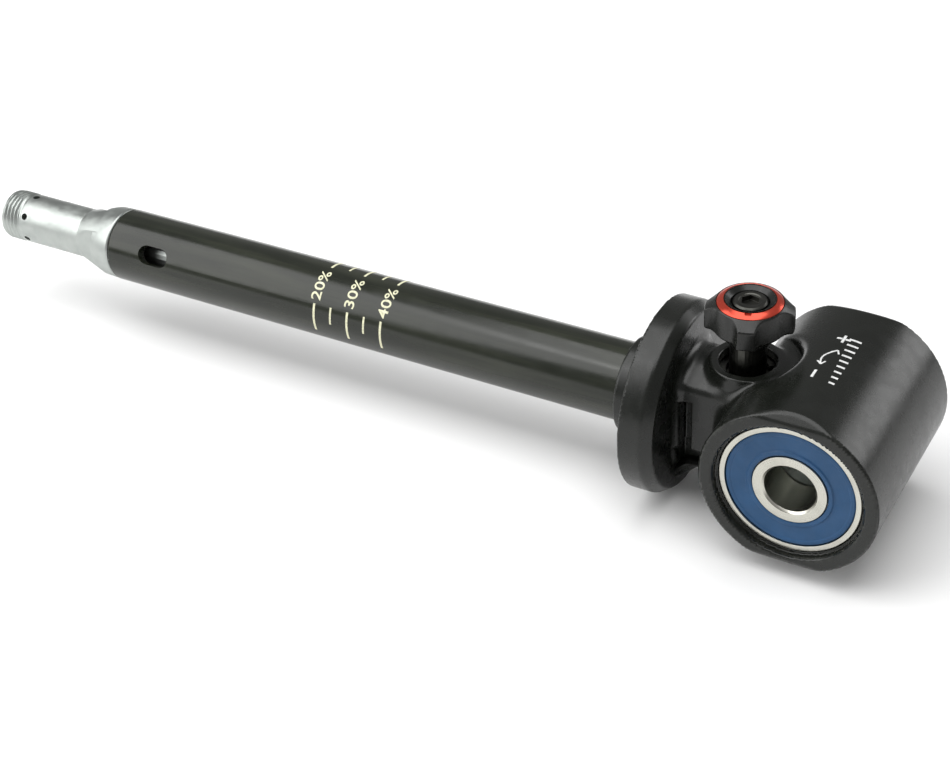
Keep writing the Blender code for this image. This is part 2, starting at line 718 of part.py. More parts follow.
def build():
    clear_scene()
    anodised = principled("black_anodised", (0.022, 0.024, 0.022), 0.34, 0.7)
    bare = principled("bright_aluminium", (0.80, 0.83, 0.80), 0.28, 1.0)
    red = principled("red_anodised", (0.55, 0.045, 0.03), 0.3, 0.8)
    blue = principled("blue_seal", (0.035, 0.09, 0.21), 0.5, 0.0)
    steel = principled("bearing_steel", (0.62, 0.61, 0.55), 0.22, 1.0)
    dark_steel = principled("black_oxide_steel", (0.05, 0.05, 0.045), 0.35, 0.9)
    rubber = principled("nitrile_rubber", (0.02, 0.02, 0.02), 0.6, 0.0)

    make_housing(anodised)
    make_shaft(anodised)
    make_tip(bare)
    make_rod(bare, rubber)
    make_needle(steel)
    coil_spring("needle_spring", 0.0, -141.1 * MM, -145.7 * MM, 4, 2.2 * MM, 0.3 * MM, steel)

    adjuster = axis_empty("adjuster_axis", (KNOB_X, 0, 0))
    make_stem(steel, rubber, adjuster)
    make_knob(anodised, red, dark_steel, adjuster)
    make_circlip(dark_steel)
    make_detent(steel, steel)

    for side_name, side in (("near", -1), ("far", 1)):
        make_bearing(side_name, side, steel, blue, steel)
    make_spacer(bare)


build()
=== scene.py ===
"""The looks of a rear shock's damper shaft, its bearing eyelet and its rebound adjuster.

Shapes are worked out in millimetres from the boxes of the CAD parts in model.glb and written to meshes
in metres.
The shaft lies along X, the bearings turn about Y, and the knob turns about an upright axis.
"""
import math

import bmesh
import bpy
import numpy as np
from mathutils import Matrix, Vector


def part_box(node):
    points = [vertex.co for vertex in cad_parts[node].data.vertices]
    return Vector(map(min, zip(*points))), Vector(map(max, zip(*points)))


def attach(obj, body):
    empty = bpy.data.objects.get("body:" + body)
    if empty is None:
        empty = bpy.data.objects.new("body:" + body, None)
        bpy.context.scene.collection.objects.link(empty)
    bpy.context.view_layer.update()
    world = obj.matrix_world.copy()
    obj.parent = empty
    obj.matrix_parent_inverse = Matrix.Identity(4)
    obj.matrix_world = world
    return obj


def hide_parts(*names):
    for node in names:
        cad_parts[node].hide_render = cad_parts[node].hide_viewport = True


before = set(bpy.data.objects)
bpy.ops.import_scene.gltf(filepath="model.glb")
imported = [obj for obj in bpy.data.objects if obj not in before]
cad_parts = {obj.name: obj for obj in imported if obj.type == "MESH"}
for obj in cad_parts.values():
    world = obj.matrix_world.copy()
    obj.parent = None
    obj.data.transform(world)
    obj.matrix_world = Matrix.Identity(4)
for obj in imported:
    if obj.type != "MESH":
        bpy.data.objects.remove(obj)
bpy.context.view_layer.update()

MM = 0.001


def box_mm(node):
    """A CAD node's lowest and highest corners in millimetres."""
    return [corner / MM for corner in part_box(node)]


# ---------------------------------------------------------------- driving sizes, in millimetres

HOUSING_LOW, HOUSING_HIGH = box_mm("eyelet_housing")
SHAFT_LOW, SHAFT_HIGH = box_mm("damper_shaft")
TIP_LOW, TIP_HIGH = box_mm("shaft_tip")
KNOB_LOW, KNOB_HIGH = box_mm("rebound_knob")
STEM_LOW, STEM_HIGH = box_mm("adjuster_stem")
RING_LOW = box_mm("knob_ring")[0]
SCREW_LOW, SCREW_HIGH = box_mm("knob_screw")
RACE_LOW, RACE_HIGH = box_mm("outer_race_far")

# The barrel across the shaft, with facets at 45 degrees on its ends
BARREL_RADIUS = HOUSING_HIGH.x
BARREL_HALF = HOUSING_HIGH.y
FACET_SUM = BARREL_HALF + 12.5

# The bearings' places in the barrel: how far out each step starts, and its radius
RACE_FACE = RACE_HIGH.y
MOUTH_RADIUS = 11.5
SEAT_START = 7.2
SEAT_RADIUS = 11.06
BORE_RADIUS = 6.6

# The spring plate with its bevelled back edge, and the collar in front of it
PLATE_RADIUS = HOUSING_HIGH.z
COLLAR_FRONT = HOUSING_LOW.x
COLLAR_RADIUS = 7.7
COLLAR_HALF = 3
PLATE_FRONT = COLLAR_FRONT + 4.5
PLATE_BACK = PLATE_FRONT + 5.4
BEVEL_WIDTH = 1.7
BEVEL_NORMAL = (0.577, 0.817)

# The neck between the plate and the barrel, and its pockets as a centre and half sizes
NECK_MIDDLE = -15
NECK_HALF_LENGTH = 8
NECK_HALF_WIDTH = 6.5
NECK_BOTTOM = -11.6
DECK_RADIUS = 9.2
SIDE_SLOT = ((-19.8, 9.2, -0.2), (0.9, 5.0, 4.4))
LOWER_POCKET = ((-17.9, 8.4, -6.7), (3.3, 5.0, 2.3))

# The boss under the knob, the flat spot cut round it, and the adjuster's upright chamber
KNOB_X = (STEM_LOW.x + STEM_HIGH.x) / 2
BOSS_TOP = 10.2
BOSS_HALF = 3.6
BOSS_RADIUS = 5.7
FLARE_TOP = 9.3
FLARE_SLOPE = 0.22
FLARE_WIDTH = 0.7
SPOT_RADIUS = 8.0
CHAMBER_RADIUS = 4.3
CHAMBER_BOTTOM = -4.5
CIRCLIP_HEIGHT = 8.3
CIRCLIP_GROOVE_DEPTH = 0.5
CIRCLIP_GROOVE_HALF = 0.4

# The detent's bore beside the chamber
DETENT_HEIGHT = 5
DETENT_RADIUS = 0.95
DETENT_MIDDLE = -17.8
DETENT_HALF = 2.8

# The shaft, its socket in the housing and its oil slot
SHAFT_RADIUS = SHAFT_HIGH.z
SHAFT_BORE = 4.6
SOCKET_END = -22.6
SOCKET_CLEARANCE = 0.1
ROD_BORE = 3.15
SLOT_CENTRE = -120.6
SLOT_ANGLE = math.radians(29)
SLOT_LENGTH = 6.1
SLOT_WIDTH = 3.3

# The tip, with its thread, ports and neck
TIP_BORE = 1.9
TIP_PLUG_RADIUS = 4.5
TIP_NECK_RADIUS = 4.4
THREAD_RADIUS = 4.3
THREAD_PITCH = 0.8
THREAD_DEPTH = 0.36
PORT_PLANE = -151
PORT_RADIUS = 0.6
PORT_COUNT = 6
FACET_PLANE = -137.4
FACET_COUNT = 3

# The knob with four ribs; its front rib points at KNOB_CORNER
KNOB_RADIUS = 6.66
KNOB_WAIST = 5.2
RIB_HALF_WIDTH = 1.25
KNOB_CORNER = math.radians(-72.4)
KNOB_SHOULDER = 20.6
TAPER_DEPTH = 5
TAPER_SLOPE = 0.14
CONE_START = 19.35
CONE_NORMAL = (0.612, 0.791)
HEAD_FOOT = KNOB_LOW.z + 2
SKIRT_RADIUS = 3.5
SKIRT_SLOPE = 0.45
SKIRT_STEEPNESS = 0.91
SKIRT_MIDDLE = 16
SKIRT_HALF = 1.8
RING_GROOVE_RADIUS = 4.38
RING_GROOVE_HALF = 0.6
RING_GROOVE_FLOOR = 20.2
DISH_RADIUS = 3.6
DISH_NORMAL = (0.6, 0.8)
SCREW_RECESS_RADIUS = 2.85
SCREW_RECESS_FLOOR = 19.6
SCREW_HOLE_RADIUS = 1.4
STEM_RECESS_RADIUS = 2.9
STEM_RECESS_TOP = 18.5

# The red ring and the screw
RING_OUTER = 4.92
RING_INNER = 3.88
RING_TOP = 21.24
SCREW_SHANK = 1.2
SCREW_HEAD = 2.6
SOCKET_CORNER = 1.45
SOCKET_FLOOR = 19.95

# The bearings
RACE_LIP = 10.08
RACE_LAND = 9.2
CORE_BORE = 4.0
CORE_RADIUS = 6.05
CORE_LIP = 5.73

# The printing: ink stands between these two heights off the surface
INK_TOP = 0.025
INK_BOTTOM = -0.03
SAG_START = -87.0
SAG_PITCH = 6.45
SAG_COUNT = 3


# ---------------------------------------------------------------- materials

NOISE_ROUGHNESS = 0.55


class Finish:
    """A Principled material with the few node chains that the finishes share."""

    def __init__(self, name, colour, roughness, metallic=0.0):
        self.material = bpy.data.materials.new(name)
        self.material.use_nodes = True
        self.nodes = self.material.node_tree.nodes
        self.links = self.material.node_tree.links
        self.shader = self.nodes["Principled BSDF"]
        self.shader.inputs["Metallic"].default_value = metallic
        self.shader.inputs["Base Color"].default_value = (*colour, 1)
        self.shader.inputs["Roughness"].default_value = roughness
        self.place = self.nodes.new("ShaderNodeTexCoord").outputs["Object"]

    def stretched(self, scale):
        node = self.nodes.new("ShaderNodeMapping")
        node.inputs["Scale"].default_value = scale
        self.links.new(self.place, node.inputs["Vector"])
        return node.outputs["Vector"]

    def noise(self, scale, detail, vector=None):
        node = self.nodes.new("ShaderNodeTexNoise")
        node.inputs["Scale"].default_value = scale
        node.inputs["Detail"].default_value = detail
        node.inputs["Roughness"].default_value = NOISE_ROUGHNESS
        self.links.new(vector or self.place, node.inputs["Vector"])
        return node.outputs["Fac"]

    def ramp(self, source, stops):
        """A colour ramp through (position, value or colour) stops."""
        node = self.nodes.new("ShaderNodeValToRGB")
        elements = node.color_ramp.elements
        while len(elements) < len(stops):
            elements.new(0.5)
        for element, (position, value) in zip(elements, stops):
            element.position = position
            element.color = (value, value, value, 1) if isinstance(value, float) else (*value, 1)
        self.links.new(source, node.inputs["Fac"])
        return node.outputs["Color"]

    def mix(self, factor, first, second):
        """Blend two colours; the factor and the colours are sockets or plain values."""
        node = self.nodes.new("ShaderNodeMix")
        node.data_type = "RGBA"
        for socket, value in ((node.inputs["Factor"], factor), (node.inputs["A"], first),
                              (node.inputs["B"], second)):
            if isinstance(value, bpy.types.NodeSocket):
                self.links.new(value, socket)
            elif isinstance(value, float):
                socket.default_value = value
            else:
                socket.default_value = (*value, 1)
        return node.outputs["Result"]

    def bump(self, height, distance, strength):
        node = self.nodes.new("ShaderNodeBump")
        node.inputs["Strength"].default_value = strength
        node.inputs["Distance"].default_value = distance
        self.links.new(height, node.inputs["Height"])
        return node.outputs["Normal"]

    def edges(self, low, high):
        """White along convex edges, from the mesh's own pointiness."""
        geometry = self.nodes.new("ShaderNodeNewGeometry")
        return self.ramp(geometry.outputs["Pointiness"], [(low, 0.0), (high, 1.0)])

    def drive(self, name, source):
        self.links.new(source, self.shader.inputs[name])


def shaded(colour, factor):
    return tuple(channel * factor for channel in colour)


def anodised(name, colour, worn, rough_low, rough_high, streaks=None, metallic=0.0):
    """Anodised aluminium: a fine blasted grain, cloudy dye, and edges rubbed a little paler."""
    finish = Finish(name, colour, rough_low, metallic)
    finish.shader.inputs["Specular IOR Level"].default_value = 0.4
    clouds = finish.noise(scale=170, detail=4)
    cloudy = finish.mix(clouds, shaded(colour, 0.75), shaded(colour, 1.35))
    if streaks:
        lines = finish.noise(scale=1, detail=3, vector=finish.stretched(streaks))
        cloudy = finish.mix(finish.ramp(lines, [(0.42, 0.0), (0.75, 0.5)]), cloudy, worn)
    specks = finish.ramp(finish.noise(scale=1400, detail=2), [(0.45, 0.0), (0.62, 1.0)])
    rubbed = finish.mix(specks, (0.0, 0.0, 0.0), finish.edges(0.535, 0.61))
    finish.drive("Base Color", finish.mix(rubbed, cloudy, worn))
    patches = finish.noise(scale=420, detail=5)
    finish.drive("Roughness", finish.ramp(patches, [(0.3, rough_low), (0.7, rough_high)]))
    grain = finish.noise(scale=7000, detail=2)
    finish.drive("Normal", finish.bump(grain, distance=0.00001, strength=0.35))
    return finish.material


def turned_metal(name, colour, stained, roughness, line_scale):
    """Metal with fine lathe lines and faint stains; line_scale sets how the lines run."""
    finish = Finish(name, colour, roughness, metallic=1.0)
    lines = finish.noise(scale=1, detail=2, vector=finish.stretched(line_scale))
    stains = finish.ramp(finish.noise(scale=260, detail=5), [(0.35, 0.0), (0.8, 1.0)])
    finish.drive("Base Color", finish.mix(stains, colour, stained))
    patches = finish.noise(scale=500, detail=4)
    finish.drive("Roughness", finish.ramp(
        patches, [(0.3, roughness * 0.8), (0.75, roughness * 1.5)]))
    finish.drive("Normal", finish.bump(lines, distance=0.000012, strength=0.2))
    return finish.material


def ground_steel(name, colour, roughness):
    """Bearing steel with ground rings round the Y axis."""
    finish = Finish(name, colour, roughness, metallic=1.0)
    flat = finish.stretched((1, 0, 1))
    length = finish.nodes.new("ShaderNodeVectorMath")
    length.operation = "LENGTH"
    finish.links.new(flat, length.inputs[0])
    rings = finish.nodes.new("ShaderNodeTexNoise")
    rings.noise_dimensions = "1D"
    rings.inputs["Scale"].default_value = 5200
    rings.inputs["Detail"].default_value = 2
    finish.links.new(length.outputs["Value"], rings.inputs["W"])
    marks = finish.ramp(finish.noise(scale=300, detail=4), [(0.45, 0.0), (0.8, 0.6)])
    finish.drive("Base Color", finish.mix(marks, colour, shaded(colour, 0.72)))
    finish.drive("Roughness", finish.ramp(
        rings.outputs["Fac"], [(0.3, roughness * 0.8), (0.7, roughness * 1.5)]))
    finish.drive("Normal", finish.bump(rings.outputs["Fac"], distance=0.000006, strength=0.4))
    return finish.material


def seal_rubber(name, colour):
    """Moulded rubber with a faint eggshell skin and dusty patches."""
    finish = Finish(name, colour, 0.5)
    finish.shader.inputs["Specular IOR Level"].default_value = 0.35
    dust = finish.ramp(finish.noise(scale=240, detail=5), [(0.4, 0.0), (0.9, 0.55)])
    dusty = tuple(channel * 1.6 + 0.01 for channel in colour)
    finish.drive("Base Color", finish.mix(dust, colour, dusty))
    patches = finish.noise(scale=600, detail=4)
    finish.drive("Roughness", finish.ramp(patches, [(0.3, 0.4), (0.7, 0.6)]))
    skin = finish.noise(scale=3800, detail=2)
    finish.drive("Normal", finish.bump(skin, distance=0.00002, strength=0.3))
    return finish.material


def print_ink(name, colour):
    """Screen-printed ink, a little thin and speckled."""
    finish = Finish(name, colour, 0.5)
    cover = finish.ramp(finish.noise(scale=2600, detail=3), [(0.35, 0.0), (0.7, 1.0)])
    finish.drive("Base Color", finish.mix(cover, shaded(colour, 0.72), colour))
    patches = finish.noise(scale=1500, detail=2)
    finish.drive("Roughness", finish.ramp(patches, [(0.3, 0.45), (0.7, 0.65)]))
    return finish.material


CASTING = anodised("black_anodised_forging", colour=(0.0072, 0.0082, 0.0066),
                   worn=(0.040, 0.042, 0.036), rough_low=0.22, rough_high=0.33)
TUBE = anodised("hard_anodised_tube", colour=(0.0125, 0.0145, 0.010),
                worn=(0.040, 0.044, 0.030), rough_low=0.13, rough_high=0.22, streaks=(45, 500, 500))
KNOB_BLACK = anodised("black_anodised_knob", colour=(0.0075, 0.008, 0.007),
                      worn=(0.05, 0.052, 0.045), rough_low=0.2, rough_high=0.32)
RED = anodised("red_anodised", colour=(0.50, 0.058, 0.034),
               worn=(0.7, 0.25, 0.18), rough_low=0.16, rough_high=0.26, metallic=0.7)
BRIGHT = turned_metal("bright_aluminium", colour=(0.44, 0.465, 0.445),
                      stained=(0.36, 0.385, 0.37), roughness=0.38, line_scale=(9000, 120, 120))
STEEL = ground_steel("ground_bearing_steel", colour=(0.56, 0.55, 0.49), roughness=0.24)
DARK_STEEL = turned_metal("black_oxide_steel", colour=(0.055, 0.055, 0.05),
                          stained=(0.10, 0.10, 0.09), roughness=0.3, line_scale=(150, 150, 6000))
SPRING_STEEL = turned_metal("spring_steel", colour=(0.5, 0.5, 0.47),
                            stained=(0.35, 0.35, 0.33), roughness=0.28, line_scale=(800, 800, 800))
BLUE = seal_rubber("blue_seal_rubber", colour=(0.014, 0.064, 0.155))
BLACK_RUBBER = seal_rubber("black_nitrile", colour=(0.012, 0.012, 0.012))
CREAM_INK = print_ink("cream_print", colour=(0.84, 0.83, 0.58))
WHITE_INK = print_ink("white_print", colour=(0.86, 0.87, 0.86))


# ---------------------------------------------------------------- mesh tools

def linked(name, data):
    """A new object in the scene."""
    item = bpy.data.objects.new(name, data)
    bpy.context.scene.collection.objects.link(item)
    return item


def evaluated(holder):
    """An object's mesh as its modifiers leave it. The object goes, and the mesh stays."""
    graph = bpy.context.evaluated_depsgraph_get()
    result = bpy.data.meshes.new_from_object(holder.evaluated_get(graph))
    bpy.data.objects.remove(holder)
    return result


def add_object(name, mesh, material, body, replaced=()):
    """Link a mesh as one piece of the object, hang it on its body's empty, and hide the CAD parts it
    stands for.
    """
    piece = linked(name, mesh)
    mesh.materials.append(material)
    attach(piece, body)
    if replaced:
        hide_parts(*replaced)


def to_mesh(name, mesh):
    """A bmesh in millimetres becomes a mesh in metres."""
    bmesh.ops.recalc_face_normals(mesh, faces=mesh.faces)
    bmesh.ops.scale(mesh, vec=(MM, MM, MM), verts=mesh.verts)
    data = bpy.data.meshes.new(name)
    mesh.to_mesh(data)
    mesh.free()
    return data


def modified(data, kind, **settings):
    """Run a modifier over a mesh once and keep the result as a plain mesh."""
    holder = linked("holder", data)
    modifier = holder.modifiers.new(kind, kind)
    for name, value in settings.items():
        setattr(modifier, name, value)
    return evaluated(holder)


STRAIGHT_ENOUGH = math.radians(165)
SHARE_OF_SIDE = 0.45


def rounded(outline, radius, steps=3, closed=True):
    """Replace an outline's corners by small arcs. An arc takes less than half of either side."""
    points = [Vector(point) for point in outline]
    result = []
    count = len(points)
    for index, corner in enumerate(points):
        if not closed and index in (0, count - 1):
            result.append(corner)
            continue
        before = points[index - 1] - corner
        after = points[(index + 1) % count] - corner
        opening = before.angle(after, math.pi)
        if opening > STRAIGHT_ENOUGH:
            result.append(corner)
            continue
        reach = min(radius / math.tan(opening / 2), before.length * SHARE_OF_SIDE,
                    after.length * SHARE_OF_SIDE)
        size = reach * math.tan(opening / 2)
        inward = (before.normalized() + after.normalized()).normalized()
        middle = corner + inward * (size / math.sin(opening / 2))
        start = corner + before.normalized() * reach - middle
        end = corner + after.normalized() * reach - middle
        for step in range(steps + 1):
            part = step / steps
            arm = (start * math.sin((1 - part) * (math.pi - opening))
                   + end * math.sin(part * (math.pi - opening)))
            result.append(middle + arm.normalized() * size)
    return result


def spun(outline, axis, segments, centre=(0, 0, 0), closed=True, radius_shift=None):
    """Spin an outline of (along the axis, radius) points.

    radius_shift(along, radius, angle) is added to each point's radius.
    """
    mesh = bmesh.new()
    rings = []
    for step in range(segments):
        angle = math.tau * step / segments
        ring = []
        for along, radius in outline:
            far = radius + (radius_shift(along, radius, angle) if radius_shift else 0.0)
            u, v = far * math.cos(angle), far * math.sin(angle)
            place = {"X": (along, u, v), "Y": (v, along, u), "Z": (u, v, along)}[axis]
            ring.append(mesh.verts.new(Vector(place) + Vector(centre)))
        rings.append(ring)
    count = len(outline)
    for step in range(segments):
        ring, following = rings[step], rings[(step + 1) % segments]
        for index in range(count if closed else count - 1):
            other = (index + 1) % count
            mesh.faces.new((ring[index], ring[other], following[other], following[index]))
    bmesh.ops.remove_doubles(mesh, verts=mesh.verts, dist=1e-5)
    return mesh


def smooth(data, sharp=35):
    """Smooth shading that keeps flat faces flat and sharp edges sharp."""
    data.shade_smooth()
    data.set_sharp_from_angle(angle=math.radians(sharp))
    return modified(data, "WEIGHTED_NORMAL", keep_sharp=True, weight=80)


def prism(outline, place):
    """A closed prism; place(across, up, end) gives the point for each end, 0 or 1."""
    mesh = bmesh.new()
    rings = [[mesh.verts.new(place(across, up, end)) for across, up in outline] for end in (0, 1)]
    count = len(outline)
    for index in range(count):
        other = (index + 1) % count
        mesh.faces.new((rings[0][index], rings[0][other], rings[1][other], rings[1][index]))
    mesh.faces.new(rings[0])
    mesh.faces.new(rings[1])
    return mesh


def carved(data, cutters, bevel=0.0):
    """Cut tools out of a mesh with exact Booleans, then soften its sharp edges."""
    holder = linked("carved", data)
    tools = []
    for cutter in cutters:
        tool = linked("cutter", to_mesh("cutter", cutter))
        modifier = holder.modifiers.new("cut", "BOOLEAN")
        modifier.operation = "DIFFERENCE"
        modifier.solver = "EXACT"
        modifier.object = tool
        tools.append(tool)
    if bevel:
        modifier = holder.modifiers.new("soften", "BEVEL")
        modifier.width = bevel * MM
        modifier.segments = 3
        modifier.limit_method = "ANGLE"
        modifier.angle_limit = math.radians(40)
    result = evaluated(holder)
    for tool in tools:
        bpy.data.objects.remove(tool)
    return result


# ---------------------------------------------------------------- rounded solids from distance fields

def join(first, second, radius):
    """Union of two distance fields with a fillet of that radius where they meet."""
    corner = np.hypot(np.maximum(radius - first, 0), np.maximum(radius - second, 0))
    return np.maximum(radius, np.minimum(first, second)) - corner


def overlap(first, second, radius):
    """Intersection of two distance fields with its edge rounded to that radius."""
    return -join(-first, -second, radius)


def cut(first, second, radius):
    """Take the second field away from the first and round the edge that is left."""
    return overlap(first, -second, radius)


def slope(field, points, step=0.01):
    """The field's gradient by central differences."""
    parts = []
    for axis in range(3):
        shift = np.zeros(3)
        shift[axis] = step
        parts.append((field(points + shift) - field(points - shift)) / (2 * step))
    return np.stack(parts, axis=1)


PULL_ROUNDS = 9
EVENING_ROUNDS = (2, 4, 6)
EVENING_SHARE = 0.5
LEAST_STEEPNESS = 0.2
SHORTEST_NORMAL = 1e-6


def shaped_by_field(name, seed, field, voxel):
    """Remesh a seed evenly, draw its points onto the field's surface, and take its normals too.

    In some rounds the points first move towards their neighbours, which spaces them evenly.
    """
    data = modified(seed, "REMESH", mode="VOXEL", voxel_size=voxel * MM)
    count = len(data.vertices)
    places = np.empty(count * 3)
    data.vertices.foreach_get("co", places)
    places = places.reshape(-1, 3) / MM
    edges = np.empty(len(data.edges) * 2, dtype=np.int32)
    data.edges.foreach_get("vertices", edges)
    edges = edges.reshape(-1, 2)
    for round_number in range(PULL_ROUNDS):
        if round_number in EVENING_ROUNDS:
            total = np.zeros_like(places)
            links = np.zeros(count)
            for here, there in ((0, 1), (1, 0)):
                np.add.at(total, edges[:, here], places[edges[:, there]])
                np.add.at(links, edges[:, here], 1)
            places += EVENING_SHARE * (total / links[:, None] - places)
        gradient = slope(field, places)
        steepness = np.maximum((gradient ** 2).sum(axis=1), LEAST_STEEPNESS)
        reach = np.clip(field(places) / steepness, -voxel, voxel)
        places -= gradient * reach[:, None]
    normals = slope(field, places)
    normals /= np.maximum(np.linalg.norm(normals, axis=1), SHORTEST_NORMAL)[:, None]
    data.vertices.foreach_set("co", (places * MM).ravel())
    data.shade_smooth()
    data.normals_split_custom_set_from_vertices(normals)
    data.name = name
    data.update()
    return data


def barrel_field(x, y, z):
    tube = overlap(np.hypot(x, z) - BARREL_RADIUS, np.abs(y) - BARREL_HALF, radius=0.36)
    facets = (np.abs(y) + np.abs(z) - FACET_SUM) * math.sqrt(0.5)
    return overlap(tube, facets, radius=0.35)


def plate_field(x, off_axis):
    """The spring plate with its bevelled back edge, and the collar in front of it."""
    middle = (PLATE_FRONT + PLATE_BACK) / 2
    half = (PLATE_BACK - PLATE_FRONT) / 2
    disc = overlap(off_axis - PLATE_RADIUS, np.abs(x - middle) - half, radius=0.25)
    back, outward = BEVEL_NORMAL
    bevel = (x - (PLATE_BACK - BEVEL_WIDTH)) * back + (off_axis - PLATE_RADIUS) * outward
    disc = overlap(disc, bevel, radius=0.18)
    collar_length = np.abs(x - COLLAR_FRONT - COLLAR_HALF) - COLLAR_HALF
    collar = overlap(off_axis - COLLAR_RADIUS, collar_length, radius=0.35)
    return join(disc, collar, radius=0.5)


def neck_field(x, y, z, off_axis):
    """The neck's round deck, upright sides and flat bottom."""
    deck = overlap(off_axis - DECK_RADIUS, np.abs(y) - NECK_HALF_WIDTH, radius=0.7)
    block = overlap(deck, NECK_BOTTOM - z, radius=1.0)
    return np.maximum(block, np.abs(x - NECK_MIDDLE) - NECK_HALF_LENGTH)


def boss_field(z, off_knob):
    """The boss under the knob, a little wider towards its foot."""
    flare = np.clip((FLARE_TOP - z) * FLARE_SLOPE, 0, FLARE_WIDTH)
    side = off_knob - BOSS_RADIUS - flare
    return overlap(side, np.abs(z - BOSS_TOP + BOSS_HALF) - BOSS_HALF, radius=0.3)


def box_field(x, y, z, centre, half):
    """Distance to a box, measured along its nearest face."""
    parts = [np.abs(value - middle) - size for value, middle, size in zip((x, y, z), centre, half)]
    return np.maximum(np.maximum(parts[0], parts[1]), parts[2])


def bearing_bore_field(y, off_bore):
    """The bore through the barrel, stepped out for a bearing and its mouth at each end."""
    mouth = np.maximum(off_bore - MOUTH_RADIUS, RACE_FACE - np.abs(y))
    seat = np.maximum(off_bore - SEAT_RADIUS, SEAT_START - np.abs(y))
    return np.minimum(np.minimum(mouth, seat), off_bore - BORE_RADIUS)


def chamber_field(z, off_knob):
    """The adjuster's upright chamber with its groove for the circlip."""
    groove_height = np.abs(z - CIRCLIP_HEIGHT) - CIRCLIP_GROOVE_HALF
    groove = np.maximum(off_knob - CHAMBER_RADIUS - CIRCLIP_GROOVE_DEPTH, groove_height)
    chamber = np.minimum(off_knob - CHAMBER_RADIUS, groove)
    return np.maximum(chamber, CHAMBER_BOTTOM - z)


def housing_field(points):
    """The forged and machined eyelet housing, with its fillets, recesses and bores."""
    x, y, z = points.T
    off_axis = np.hypot(y, z)
    off_knob = np.hypot(x - KNOB_X, y)
    spot = np.maximum(off_knob - SPOT_RADIUS, BOSS_TOP - z)
    barrel = cut(barrel_field(x, y, z), spot, radius=1.1)
    body = join(barrel, neck_field(x, y, z, off_axis), radius=1.8)
    body = join(body, plate_field(x, off_axis), radius=1.7)
    body = join(body, boss_field(z, off_knob), radius=0.9)
    from_middle = np.abs(y)
    body = cut(body, box_field(x, from_middle, z, *SIDE_SLOT), radius=0.25)
    body = cut(body, box_field(x, from_middle, z, *LOWER_POCKET), radius=0.4)
    body = cut(body, bearing_bore_field(y, np.hypot(x, z)), radius=0.3)
    body = cut(body, chamber_field(z, off_knob), radius=0.3)
    socket = np.maximum(off_axis - SHAFT_RADIUS - SOCKET_CLEARANCE, x - SOCKET_END)
    body = cut(body, socket, radius=0.15)
    rod_bore = np.maximum(off_axis - ROD_BORE, x - KNOB_X)
    body = np.maximum(body, -rod_bore)
    detent_length = np.abs(x - DETENT_MIDDLE) - DETENT_HALF
    detent_bore = np.maximum(np.hypot(y, z - DETENT_HEIGHT) - DETENT_RADIUS, detent_length)
    return np.maximum(body, -detent_bore)


def knob_head_field(x, y, z, off):
    """The knob's ribs on a round waist that widens downwards, under a cone."""
    along = x * math.cos(KNOB_CORNER) + y * math.sin(KNOB_CORNER)
    across = y * math.cos(KNOB_CORNER) - x * math.sin(KNOB_CORNER)
    ribs = np.minimum(np.abs(along), np.abs(across)) - RIB_HALF_WIDTH
    taper = np.clip(KNOB_SHOULDER - z, 0, TAPER_DEPTH) * TAPER_SLOPE
    sides = join(off - KNOB_WAIST - taper, ribs, radius=1.5)
    head = overlap(off - KNOB_RADIUS, sides, radius=0.12)
    outward, upward = CONE_NORMAL
    cone = (off - KNOB_RADIUS) * outward + (z - CONE_START) * upward
    head = overlap(head, cone, radius=0.16)
    return overlap(head, HEAD_FOOT - z, radius=0.3)


def knob_field(points):
    """The knob: its head and tapered skirt, less the ring's groove, a dish, and bores for the
    screw and the stem."""
    x, y, z = (points - np.array((KNOB_X, 0, 0))).T
    off = np.hypot(x, y)
    skirt_side = (off - SKIRT_RADIUS - (z - KNOB_LOW.z) * SKIRT_SLOPE) * SKIRT_STEEPNESS
    skirt = np.maximum(skirt_side, np.abs(z - SKIRT_MIDDLE) - SKIRT_HALF)
    body = join(knob_head_field(x, y, z, off), skirt, radius=0.2)
    body = overlap(body, z - KNOB_HIGH.z, radius=0.12)
    ring_groove = np.maximum(np.abs(off - RING_GROOVE_RADIUS) - RING_GROOVE_HALF,
                             RING_GROOVE_FLOOR - z)
    body = np.maximum(body, -ring_groove)
    outward, upward = DISH_NORMAL
    dish = (off - SCREW_RECESS_RADIUS) * outward - (z - KNOB_SHOULDER) * upward
    body = cut(body, np.maximum(dish, off - DISH_RADIUS), radius=0.1)
    screw_recess = np.maximum(off - SCREW_RECESS_RADIUS, SCREW_RECESS_FLOOR - z)
    body = cut(body, np.minimum(screw_recess, off - SCREW_HOLE_RADIUS), radius=0.08)
    return cut(body, np.maximum(off - STEM_RECESS_RADIUS, z - STEM_RECESS_TOP), radius=0.1)


# ---------------------------------------------------------------- housing, shaft and tip

def make_housing():
    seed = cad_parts["eyelet_housing"].data.copy()
    mesh = shaped_by_field("housing_forging", seed, housing_field, voxel=0.325)
    mesh.materials.clear()
    add_object("housing_forging", mesh, CASTING, "housing", ["eyelet_housing"])


def radial(angle):
    """Off the shaft's axis: 0 faces -Y and a quarter turn faces +Z."""
    return Vector((0, -math.cos(angle), math.sin(angle)))


def radial_prism(outline, along, angle, low, high):
    """A prism that stands out from the shaft's axis, between two distances off it."""
    outward = radial(angle)
    sideways = outward.cross(Vector((1, 0, 0)))

    def place(across, up, end):
        return Vector((along + across, 0, 0)) + sideways * up + outward * (high if end else low)

    return prism(outline, place)


def stadium(length, width, steps=12):
    """A slot outline with round ends."""
    run = (length - width) / 2
    points = []
    for sign, start in ((1, -math.pi / 2), (-1, math.pi / 2)):
        for step in range(steps + 1):
            angle = start + math.pi * step / steps
            points.append((sign * run + width / 2 * math.cos(angle), width / 2 * math.sin(angle)))
    return points


